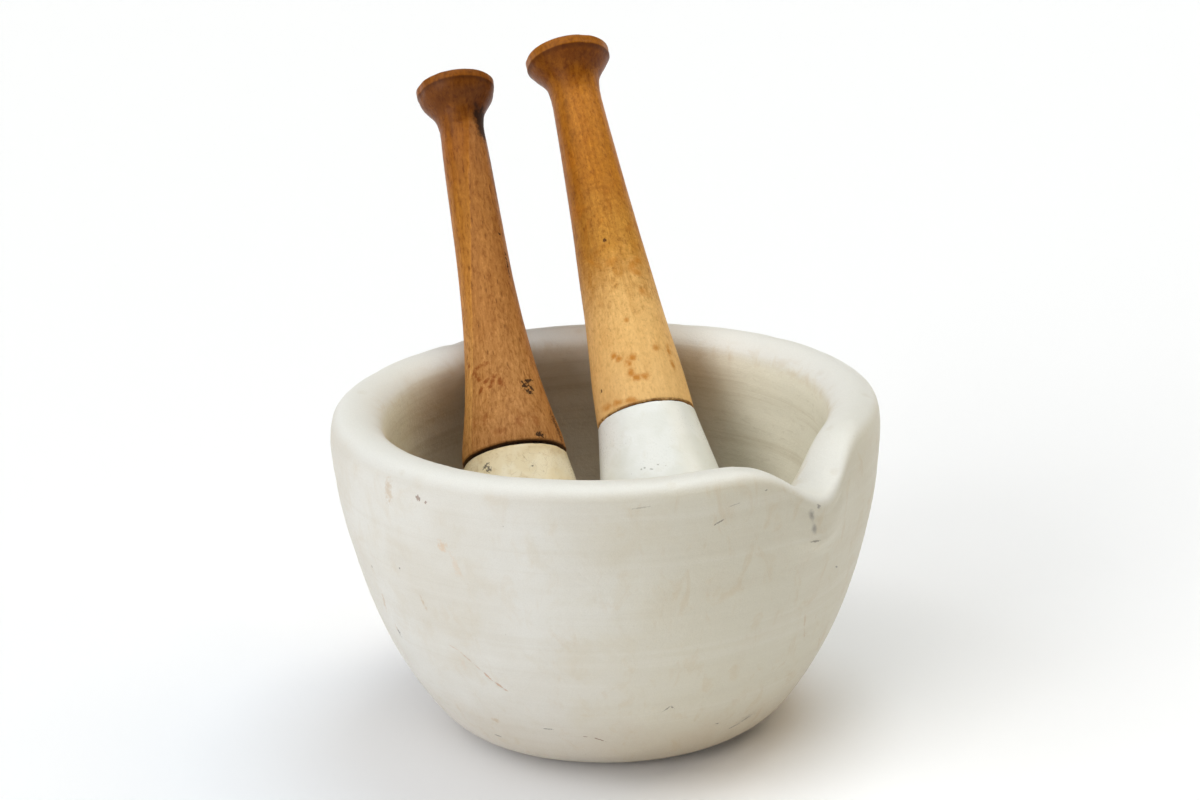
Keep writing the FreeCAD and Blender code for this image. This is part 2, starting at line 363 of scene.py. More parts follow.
def handle_outline(p):
    """(height, radius) from the tenon's end, up the flare and the shaft, to the knob's crown."""
    foot, edge = p["joint_gap"], p["knob_edge"]
    band_top, knob_r = edge + p["knob_band"], p["knob_r"]
    rim_in = (band_top + 1.0, knob_r - 1.1)
    shaft = spline([(foot + 0.55, p["joint_r"] - 0.02)] + p["shaft"] + [(edge, knob_r - 0.2)],
                   lambda s: 0.8 if s[0] > 165 or s[0] < 20 else 1.5)
    end, soft, joint_r = -TENON_LENGTH, 0.6, p["joint_r"]
    return (path((end, 0.7, 5), (end, TENON_R - soft, 2), (end + soft, TENON_R, 12),
                 (foot, TENON_R, 8), (foot, joint_r - soft, 2), (foot + 0.55, joint_r - 0.02, 0))
            + list(map(tuple, shaft))
            + path((edge + 0.3, knob_r, 6), (band_top, knob_r, 0))
            + [(band_top, knob_r), (band_top + 0.36, knob_r - 0.08),
               (band_top + 0.67, knob_r - 0.34), rim_in]
            + ball_cap(rim_in, band_top + p["knob_crown"], 20))


def handle(name, p):
    """A turned handle: tool rings, worn flats, bruises, a chipped foot and knob band."""
    seed = p["handle_seed"]

    def relief(flat):
        height = flat[:, 2]
        radius = np.hypot(flat[:, 0], flat[:, 1])
        lap = flat * [1, 1, 0] / np.maximum(radius, 4.0)[:, None]
        out = 0.16 * layered(lap * 1.1 + flat * [0, 0, 0.012], seed, 2)
        rings = noise3(np.stack([height / 1.9, 0 * height, 0 * height], -1) + lap * 0.15, seed + 5)
        near_knob = fade(height, 160, 186)
        out += (0.02 + 0.05 * near_knob) * rings
        out += 0.035 * layered(flat / [2.6, 2.6, 16.0], seed + 9, 2)
        flats = noise3(lap * 2.4 + flat * [0, 0, 0.004], seed + 13)
        out += p["worn"] * flats * fade(height, 20, 60) * (1 - fade(height, 150, 175))
        out += dents(flat, p["bruises"], seed + 50)
        bottom = p["joint_gap"]
        edge = np.exp(-((height - bottom - 0.5) / 1.1) ** 2) * fade(radius, 20, 22)
        out -= edge * 0.35 * np.maximum(layered(flat / 3.1, seed + 21, 2), 0)
        band = np.exp(-((height - p["knob_edge"] - p["knob_band"] * 0.5) / 2.6) ** 2)
        out -= band * 0.22 * np.maximum(layered(lap * 4.0, seed + 25, 2), 0)
        return np.clip(out, -0.9, 0.45) * fade(height, bottom - 2.0, bottom + 0.4)
    return turned(name, p, handle_outline(p), 144, relief)


def head_outline(p):
    """(height, radius) from the head's tip, up its side and down into the socket."""
    end = -p["head_length"]
    belly, top_r, shoulder = end + p["head_belly"], p["joint_r"] - 0.1, 1.6
    side_r, socket_r = top_r + 0.25, TENON_R + CEMENT_THICK
    floor = -TENON_LENGTH - CEMENT_THICK
    tip = (end + 2.0, p["head_r"] * 0.45)
    side = spline([(-shoulder, side_r),
                   (-0.27 * p["head_length"], 0.45 * top_r + 0.55 * p["head_r"]),
                   (belly, p["head_r"]), (belly - 0.62 * p["head_belly"], p["head_r"] * 0.82),
                   tip], 1.5)[::-1]
    cap = ball_cap(tip, end, 9)[::-1]
    return (cap + list(map(tuple, side))
            + [(-1.0, side_r - 0.1), (-0.45, top_r - 0.3), (-0.15, top_r - 0.75),
               (0.0, top_r - shoulder + 0.3)]
            + path((0.0, top_r - 1.8, 8), (0.0, socket_r, 14), (floor, socket_r, 6),
                   (floor, 0.7, 1), (floor, 0.7, 0)))


def head(name, p):
    """A ceramic head: rippled, chipped round the joint and worn at its tip."""
    seed = p["head_seed"]

    def relief(flat):
        height = flat[:, 2]
        r = np.hypot(flat[:, 0], flat[:, 1])
        outside = fade(r, TENON_R + 3, TENON_R + 6) + fade(-height, 36, 44)
        outside = np.clip(outside, 0, 1)
        out = p["ripple"] * layered(flat / 13.0, seed, 3) + 0.02 * layered(flat / 3.0, seed + 3, 2)
        edge = np.exp(-((height + 0.6) / 1.0) ** 2) * fade(r, 21, 22.5)
        out -= edge * 0.5 * np.maximum(layered(flat / 2.6, seed + 7, 2) - 0.25, 0)
        worn = fade(-height, p["head_length"] - 12, p["head_length"] - 2)
        out += worn * 0.08 * layered(flat / 2.2, seed + 11, 2)
        return np.clip(out, -0.5, 0.25) * outside
    return turned(name, p, head_outline(p), 128, relief)


def cement(name, p):
    """The lumpy cement between socket and tenon, which shows as a ring at the joint."""
    socket_r, floor = TENON_R + CEMENT_THICK, -TENON_LENGTH - CEMENT_THICK
    gap = p["joint_gap"]
    ring_r = p["joint_r"] - 1.4 - p["cement_inset"]
    outline = path((floor, 0.7, 6), (floor, socket_r, 14), (0, socket_r, 10), (0, ring_r, 4),
                   (gap, ring_r, 10), (gap, TENON_R, 14), (-TENON_LENGTH, TENON_R, 6),
                   (-TENON_LENGTH, 0.7, 1), (-TENON_LENGTH, 0.7, 0))

    def relief(flat):
        r = np.hypot(flat[:, 0], flat[:, 1])
        lumps = layered(flat / [2.4, 2.4, 1.2], p["cement_seed"], 3)
        return 0.35 * lumps * fade(r, ring_r - 0.6, ring_r - 0.1)
    return turned(name, p, outline, 160, relief)


# ------ materials
def linear(red, green, blue):
    """A colour given as 0-255 screen values, as the shader's linear numbers."""
    def one(c):
        c /= 255.0
        return c / 12.92 if c <= 0.04045 else ((c + 0.055) / 1.055) ** 2.4
    return (one(red), one(green), one(blue), 1.0)


class Paint:
    """A material's node tree, written as nested calls. Texture space is in mm."""

    def __init__(self, name, place=(0, 0, 0), turn=None, **constants):
        self.material = bpy.data.materials.new(name)
        self.material.use_nodes = True
        self.nodes = self.material.node_tree.nodes
        self.links = self.material.node_tree.links
        self.nodes.clear()
        self.shader = self.nodes.new("ShaderNodeBsdfPrincipled")
        out = self.nodes.new("ShaderNodeOutputMaterial")
        self.links.new(self.shader.outputs[0], out.inputs[0])
        for key, value in constants.items():
            self.shader.inputs[key.replace("_", " ")].default_value = value
        spot = self.node("ShaderNodeTexCoord")
        angles = turn.to_euler("XYZ") if turn is not None else (0, 0, 0)
        self.mm = self.mapped(spot.outputs["Object"], Vector(place) * MM, angles, (MM,) * 3)
        xyz = self.node("ShaderNodeSeparateXYZ", Vector=self.mm)
        self.x, self.y, self.z = xyz.outputs
        across = self.add(self.mul(self.x, self.x), self.mul(self.y, self.y))
        self.radius = self.math("POWER", across, 0.5)
        self.colour = None
        self.edges = {}

    def node(self, kind, settings=None, **inputs):
        made = self.nodes.new(kind)
        for key, value in (settings or {}).items():
            setattr(made, key, value)
        for key, value in inputs.items():
            self.put(made.inputs[int(key[1:]) if key[0] == "_" else key.replace("_", " ")], value)
        return made

    def put(self, socket, value):
        if isinstance(value, bpy.types.NodeSocket):
            self.links.new(value, socket)
        else:
            socket.default_value = value

    def math(self, operation, first, *others):
        """One operation on two or more values, from left to right."""
        for other in others:
            first = self.node("ShaderNodeMath", {"operation": operation}, _0=first, _1=other).outputs[0]
        return first

    def add(self, *values):
        return self.math("ADD", *values)

    def sub(self, *values):
        return self.math("SUBTRACT", *values)

    def mul(self, *values):
        return self.math("MULTIPLY", *values)

    def most(self, *values):
        return self.math("MAXIMUM", *values)

    def stir(self, value, noise, amount):
        """Moves a value up and down with a noise, by half the amount each way."""
        return self.add(value, self.mul(self.sub(noise, 0.5), amount))

    def mapped(self, vector, place=(0, 0, 0), turn=(0, 0, 0), size=(1, 1, 1)):
        return self.node("ShaderNodeMapping", {"vector_type": "TEXTURE"}, Vector=vector,
                         Location=tuple(place), Rotation=tuple(turn), Scale=tuple(size)).outputs[0]

    def noise(self, size, detail=3.0, rough=0.5, warp=0.0, vector=None, stretch=None, shift=0.0):
        """Noise whose features are about size mm across, times stretch along each axis."""
        scale = tuple(size * s for s in (stretch or (1, 1, 1)))
        where = self.mapped(vector or self.mm, (shift, shift * 1.7, shift * 0.6), size=scale)
        raw = self.node("ShaderNodeTexNoise", {"noise_dimensions": "3D"}, Vector=where, Scale=1.0,
                        Detail=detail, Roughness=rough, Distortion=warp).outputs[0]
        return self.node("ShaderNodeMapRange", Value=raw, From_Min=0.27, From_Max=0.73).outputs[0]

    def ease(self, value, low, high, start=0.0, end=1.0):
        """From start where the value is low to end where it is high, which may be less."""
        return self.node("ShaderNodeMapRange", {"interpolation_type": "SMOOTHSTEP"}, Value=value,
                         From_Min=low, From_Max=high, To_Min=start, To_Max=end).outputs[0]

    def ramp(self, value, stops):
        made = self.node("ShaderNodeValToRGB", Fac=value)
        made.color_ramp.interpolation = "EASE"
        points = made.color_ramp.elements
        while len(points) < len(stops):
            points.new(0.5)
        for point, (at, colour) in zip(points, stops):
            point.position, point.color = at, colour
        return made.outputs[0]

    def mix(self, share, a, b, blend="MIX"):
        made = self.node("ShaderNodeMix", {"data_type": "RGBA", "blend_type": blend})
        self.put(made.inputs[0], share)
        self.put(made.inputs[6], a)
        self.put(made.inputs[7], b)
        return made.outputs[2]

    def coat(self, shade, *shares):
        """Lays a 0-255 shade over the colour so far, as thickly as the shares multiplied."""
        self.colour = self.mix(self.mul(*shares), self.colour, linear(*shade))

    def dye(self, tint, *shares):
        """Multiplies the colour so far by a tint, as strongly as the shares multiplied."""
        self.colour = self.mix(self.mul(*shares), self.colour, tint, "MULTIPLY")

    def dots(self, cell, size, keep=1.0, stretch=(1, 1, 1), turn=(0, 0, 0), shift=0.0,
             vector=None, soft=0.5):
        """Scattered small marks, one to a cell at most, kept at random."""
        where = self.mapped(vector or self.mm, (shift, shift * 0.7, shift * 1.3), turn,
                            tuple(cell * s for s in stretch))
        made = self.node("ShaderNodeTexVoronoi", Vector=where, Scale=1.0, Randomness=1.0)
        pick = self.node("ShaderNodeSeparateColor", Color=made.outputs["Color"])
        reach = self.mul(self.ease(pick.outputs[0], 1.0 - keep, 1.0), size / cell)
        gap = self.sub(reach, made.outputs["Distance"])
        return self.ease(gap, -soft * size / cell * 0.5, soft * size / cell)

    def spot(self, place, size, turn=(0, 0, 0), ragged=0.5, grain=1.6, soft=0.4):
        """A ragged mark: an ellipsoid of half sizes in mm, with its edge broken by noise."""
        if grain not in self.edges:
            self.edges[grain] = self.noise(grain, 3.0, 0.6)
        where = self.mapped(self.mm, place, turn, size)
        far = self.node("ShaderNodeVectorMath", {"operation": "LENGTH"}, _0=where).outputs["Value"]
        edge = self.mul(self.sub(self.edges[grain], 0.5), ragged * 1.5)
        return self.ease(self.add(far, edge), 1.0, 1.0 - soft)

    def bump(self, *layers):
        """Bump layers of (height socket, depth in mm), stacked."""
        normal = None
        for height, depth in layers:
            made = self.node("ShaderNodeBump", Height=height, Distance=depth * MM, Strength=1.0)
            if normal is not None:
                self.put(made.inputs["Normal"], normal)
            normal = made.outputs[0]
        self.put(self.shader.inputs["Normal"], normal)

    def finish(self, roughness):
        self.put(self.shader.inputs["Base Color"], self.colour)
        self.put(self.shader.inputs["Roughness"], roughness)
        return self.material


SOFT = {"ragged": 0.7, "soft": 0.9}
SMALL = {"ragged": 0.8, "grain": 0.8}


def wall_mark(p, azimuth, z, wide, high, tilt=0.0, strength=1.0, lip=None, **look):
    """A mark on the bowl: half width round the wall, half height up it, tilt in degrees."""
    place = on_wall(azimuth, z) if lip is None else on_lip(azimuth, lip)
    mark = p.spot(tuple(map(float, place)), (5.0, wide, high),
                  (math.radians(tilt), 0.0, math.radians(azimuth)), **look)
    return mark if strength == 1.0 else p.mul(mark, strength)


def wall_marks(p, rows, **look):
    """Marks on the bowl, from rows of what wall_mark takes."""
    return p.most(*[wall_mark(p, *row, **look) for row in rows])


def wall_line(p, thick, points, **look):
    """A thin mark drawn through (azimuth, height) points of the outer wall."""
    rows = []
    for (a0, z0), (a1, z1) in zip(points, points[1:]):
        middle, height = 0.5 * (a0 + a1), 0.5 * (z0 + z1)
        across = math.radians(a1 - a0) * float(np.hypot(*on_wall(middle, height)[:2]))
        rows.append((middle, height, 0.58 * math.hypot(across, z1 - z0), thick,
                     math.degrees(math.atan2(z1 - z0, across))))
    return wall_marks(p, rows, **look)


def wall_lines(p, rows, **look):
    """Thin marks on the outer wall, from rows of (half thickness, points)."""
    return p.most(*[wall_line(p, *row, **look) for row in rows])


def stoneware():
    """Unglazed white stoneware, yellower inside, with the stains and scratches that show."""
    p = Paint("white_stoneware", Specular_IOR_Level=0.42)
    inner = p.node("ShaderNodeAttribute", {"attribute_name": "inner"}).outputs["Fac"]
    chip = p.node("ShaderNodeAttribute", {"attribute_name": "chip"}).outputs["Fac"]
    cloud = p.noise(60.0, 3.0, 0.5)
    patch = p.noise(22.0, 4.0, 0.62, 0.4, shift=40.0)
    smear = p.noise(10.0, 4.0, 0.65, 0.8, stretch=(1, 1, 1.9), shift=90.0)
    fine = p.noise(1.4, 3.0, 0.6)
    dust = p.noise(0.5, 2.0, 0.6, shift=7.0)
    laps = p.noise(5.0, 3.0, 0.6, stretch=(40, 40, 1.0), shift=3.0)
    inside = p.ease(inner, 0.75, 1.0)

    def towards(azimuth):
        """1 on the side of that azimuth, 0 a quarter turn away."""
        a = math.radians(azimuth)
        return p.math("DIVIDE", p.add(p.mul(p.x, math.cos(a)), p.mul(p.y, math.sin(a))), p.radius)

    p.colour = linear(220, 218, 211)
    p.coat((214, 210, 200), p.ease(cloud, 0.2, 0.8))
    # warmer and darker towards the spout side: partly stain, partly painted shade
    spout_side_stain_and_shade = p.ease(p.stir(towards(0.0), patch, 0.16), 0.36, 1.0)
    p.coat((209, 203, 184), spout_side_stain_and_shade)
    p.coat((206, 196, 176), p.ease(patch, 0.45, 0.95), 0.30)
    p.coat((192, 182, 162), p.ease(laps, 0.50, 0.85), 0.10)
    p.coat((232, 230, 224), p.ease(laps, 0.45, 0.10), 0.10)

    # warm tints: faint smears on the left and front; darker and warmer near the foot and towards the
    # spout, partly handling stain and partly painted shade
    low = p.ease(p.stir(p.z, patch, 24.0), 46.0, 4.0)
    p.coat((200, 182, 156), low, p.add(p.mul(spout_side_stain_and_shade, 0.30), 0.32))
    warm = p.mul(p.ease(smear, 0.55, 0.95), p.add(p.mul(p.add(low, spout_side_stain_and_shade), 0.16), 0.12))
    p.coat((198, 176, 140), warm)

    lip = p.mul(p.ease(inner, 0.10, 0.30), p.ease(inner, 0.97, 0.80))
    p.coat((231, 231, 226), lip, 0.8)

    # the cavity is yellower from use and browner low down; the back wall just below the lip has a
    # painted shadow of the pestles
    p.coat((232, 229, 212), inside)
    depth = p.ease(p.stir(p.z, patch, 14.0), 148.0, 88.0)
    p.coat((204, 197, 176), inside, p.mul(depth, 0.62))
    # painted shadow of the pestles on the back wall below the lip
    pestle_shadow = p.ease(p.stir(towards(148.0), smear, 0.10), 0.50, 0.82)
    shadow_below_lip = p.mul(p.ease(inner, 0.70, 0.95), p.ease(p.z, 158.0, 146.0, 0.4, 0.84))
    p.coat((212, 200, 182), pestle_shadow, shadow_below_lip)
    p.coat((168, 150, 116), inside, p.ease(laps, 0.5, 0.9), 0.22)
    scuff = p.noise(4.0, 4.0, 0.7, 1.0, stretch=(2.0, 2.0, 0.5), shift=14.0)
    p.coat((150, 134, 104), inside, p.ease(scuff, 0.55, 0.95), 0.14)
    inner_edge = p.mul(p.ease(inner, 0.62, 0.88), p.ease(inner, 1.0, 0.9))
    p.coat((200, 180, 144), inner_edge, p.ease(smear, 0.40, 0.80), 0.26)

    # speckle, pinholes and short scratches everywhere
    round_wall = p.mul(p.math("ARCTAN2", p.y, p.x), 118.0)
    lap = p.node("ShaderNodeCombineXYZ", X=round_wall, Y=p.z, Z=0.0).outputs[0]
    specks = p.dots(8.0, 0.36, 0.5)
    p.coat((132, 118, 98), specks, 0.34)
    pits = p.dots(30.0, 0.7, 0.35, shift=5.0)
    p.coat((118, 106, 90), pits, 0.5)
    scratch = p.most(p.dots(34.0, 1.0, 0.35, (0.5, 0.05, 1), (0, 0, 0.5), 3.0, lap, 0.8),
                     p.dots(46.0, 1.4, 0.3, (0.6, 0.04, 1), (0, 0, -0.35), 8.0, lap, 0.8))
    p.coat((150, 136, 116), scratch, p.ease(fine, 0.3, 0.8), 0.30)

    # the marks that can be seen, by place on the wall
    rust = wall_marks(p, [(-82.4, 122.9, 3.0, 3.8), (-79.5, 114.0, 2.4, 9.0, 14, 0.5),
                          (-84.0, 62.0, 2.2, 6.0, 0, 0.25)], **SOFT)
    p.coat((214, 170, 118), rust, 0.4)
    upper_crack = wall_line(p, 0.42, [(-86.6, 70.6), (-84.2, 69.0), (-80.6, 63.1), (-78.6, 59.4)],
                            ragged=0.6, grain=1.2, soft=0.8)
    lower_crack = wall_line(p, 0.75, [(-78.8, 59.8), (-76.6, 55.4), (-73.2, 50.7)],
                            ragged=0.7, grain=1.2, soft=0.7)
    crack = p.most(p.mul(upper_crack, 0.7), lower_crack)
    p.coat((196, 146, 108), crack, 0.66)
    streaks = p.most(
        wall_marks(p, [(-108.8, 79.0, 1.5, 7.5, -14), (-107.0, 66.5, 1.0, 3.5),
                       (-91.1, 90.1, 1.1, 5.0, 12), (-96.0, 142.0, 3.4, 8.0),
                       (-81.0, 30.0, 3.0, 2.0)], **SOFT),
        wall_lines(p, [(0.8, [(1.0, 76.0), (2.6, 66.0), (4.6, 58.0)]),
                       (0.8, [(14.0, 54.0), (16.5, 46.0)])], **SOFT))
    p.coat((188, 156, 112), streaks, 0.42)
    flecks = p.most(
        wall_marks(p, [(-87.4, 143.3, 1.6, 1.4), (-85.4, 142.2, 1.0, 0.7),
                       (-55.6, 26.0, 1.4, 0.3, -12)], **SMALL),
        wall_line(p, 0.42, [(-53.6, 25.7), (-50.3, 22.8)], **SMALL))
    p.coat((128, 90, 68), flecks, 0.66)
    soot = p.most(
        wall_mark(p, -84.2, 17.7, 2.3, 0.5, -6, ragged=0.5, grain=0.8),
        wall_mark(p, -106.4, 64.7, 0.9, 2.4, ragged=1.2, grain=0.8),
        wall_marks(p, [(-109.6, 96.3, 0.7, 0.6), (-96.4, 104.7, 0.8, 0.6),
                       (-14.7, 145.1, 0.9, 0.4)], **SMALL),
        wall_lines(p, [(0.35, [(-66.8, 29.6), (-63.9, 29.7)]),
                       (0.40, [(-35.0, 40.0), (-33.3, 42.6), (-32.2, 40.8)]),
                       (0.40, [(-18.3, 25.0), (-17.2, 24.6)]),
                       (0.42, [(-12.0, 18.0), (-8.0, 19.8), (-5.2, 22.2)]),
                       (0.55, [(-3.8, 115.6), (-1.6, 114.7)]),
                       (0.45, [(10.0, 92.4), (11.2, 91.2)]),
                       (0.40, [(-26.2, 134.2), (-24.0, 136.0)])], **SMALL))
    p.coat((96, 88, 80), soot, 0.62)
    faint = p.most(
        wall_lines(p, [(0.3, [(-42.5, 145.6), (-39.0, 146.2)]),
                       (0.3, [(-23.0, 141.4), (-20.5, 142.2)])], **SMALL),
        wall_mark(p, -6.0, 22.0, 9.0, 3.0, 18, 0.6, **SOFT))
    p.coat((130, 120, 106), faint, 0.36)
    smudge = p.most(
        wall_line(p, 2.0, [(-4.4, 131.6), (-3.6, 125.0), (-3.1, 118.6)],
                  ragged=0.3, grain=2.6, soft=1.0),
        wall_mark(p, -2.4, 131.4, 1.0, 1.2, **SMALL))
    p.coat((128, 122, 118), smudge, 0.66)
    lip_marks = p.most(*[
        wall_mark(p, azimuth, 0, wide, high, lip=over, **SMALL) for azimuth, over, wide, high in (
            (-110.0, 0.9, 1.2, 1.0), (-107.5, 0.95, 2.2, 0.8), (-91.0, 0.66, 1.4, 0.8),
            (96.0, 0.25, 2.6, 0.7))])
    p.coat((132, 116, 94), lip_marks, 0.42)
    p.coat((190, 176, 150), p.ease(chip, 0.35, 0.9), 0.14)
    p.coat((120, 110, 96), p.ease(dust, 0.3, 0.75), 0.05)

    # the ring it stands on is rubbed grey
    foot = p.mul(p.ease(p.z, 2.2, 0.4), p.ease(fine, 0.3, 0.6))
    p.coat((150, 140, 124), foot, 0.5)

    rough = p.stir(p.ease(cloud, 0.3, 0.7, 0.44, 0.54), fine, 0.16)
    rough = p.add(rough, p.mul(p.most(warm, p.mul(inside, 0.5)), 0.2))
    p.bump((patch, 0.30), (laps, 0.10), (fine, 0.05), (dust, 0.03),
           (p.most(crack, p.mul(soot, 0.4), pits, p.mul(scratch, 0.5)), -0.20))
    return p.finish(rough)


def place_on(side, height, degrees, outline=None):
    """The point of a pestle's surface at a height, in degrees from the front."""
    table = np.array(outline or [(0.0, side["joint_r"])] + side["shaft"])
    r = float(np.interp(height, table[:, 0], table[:, 1]))
    a = math.radians(degrees)
    return (r * math.cos(a), r * math.sin(a), height)


def shaft_mark(p, height, degrees, wide, high, tilt=0.0, strength=1.0, outline=None, **look):
    """A mark on a pestle: half width round it, half height along it, tilt in degrees."""
    mark = p.spot(place_on(p.side, height, degrees, outline), (4.0, wide, high),
                  (math.radians(tilt), 0.0, math.radians(degrees)), **look)
    return mark if strength == 1.0 else p.mul(mark, strength)


def shaft_marks(p, rows, **look):
    """Marks on a pestle, from rows of what shaft_mark takes."""
    return p.most(*[shaft_mark(p, *row, **look) for row in rows])


def head_marks(p, rows, **look):
    """Marks on a pestle's head, clear of its socket and tip."""
    outline = [(h, r) for h, r in head_outline(p.side) if r > 22.0]
    return shaft_marks(p, rows, outline=outline, **look)


def stroke(p, thick, points, strength=1.0, **look):
    """A mark drawn through (height, degrees from the front) points of a shaft."""
    rows = []
    for (h0, d0), (h1, d1) in zip(points, points[1:]):
        height, degrees = 0.5 * (h0 + h1), 0.5 * (d0 + d1)
        x, y, _ = place_on(p.side, height, degrees)
        across = math.radians(d1 - d0) * math.hypot(x, y)
        rows.append((height, degrees, 0.6 * math.hypot(across, h1 - h0) + 0.4 * thick, thick,
                     math.degrees(math.atan2(h1 - h0, across))))
    marks = shaft_marks(p, rows, **look)
    return marks if strength == 1.0 else p.mul(marks, strength)


def strokes(p, rows, **look):
    """Strokes on a shaft, from rows of (half thickness, points, strength)."""
    return p.most(*[stroke(p, *row, **look) for row in rows])


def pestle_paint(name, side, gloss):
    """Paint whose texture space is the pestle's own: z up its axis from the joint, in mm."""
    p = Paint(name, side["joint_centre"], pestle_frame(side), Specular_IOR_Level=gloss)
    p.side = side
    return p


# tints that the wood's colour is multiplied by
DARKER, PALER, DULLER = (0.60, 0.48, 0.34, 1.0), (1.24, 1.30, 1.42, 1.0), (0.78, 0.68, 0.52, 1.0)


def wood_base(p, stops, blotch):
    """The handle's colour by height in mm, with the limits between colours wandering."""
    length = 200.0
    along = p.math("DIVIDE", p.stir(p.z, blotch, 14.0), length)
    return p.ramp(along, [(height / length, linear(*shade)) for height, shade in stops])


def growth_lines(p, across, density):
    """Uneven growth layers of the wood, across a distance in mm."""
    return p.node("ShaderNodeTexNoise", {"noise_dimensions": "1D"}, W=p.mul(across, density),
                  Scale=1.0, Detail=2.0, Roughness=0.6).outputs[0]


def knob_wear(p, blotch, low, groove, groove_shadow_colour):
    """The knob mottled by the hand, with painted shadow in the groove under its band."""
    held = p.ease(p.z, low, low + 16.0, 0.0, 0.5)
    p.dye(DARKER, p.ease(blotch, 0.45, 0.85), held)
    p.dye(PALER, p.ease(blotch, 0.45, 0.10), p.mul(held, 0.7))
    # painted shadow under the knob's band
    start, full, fading, gone = groove
    p.coat(groove_shadow_colour, p.mul(p.ease(p.z, start, full), p.ease(p.z, gone, fading)), 0.5)


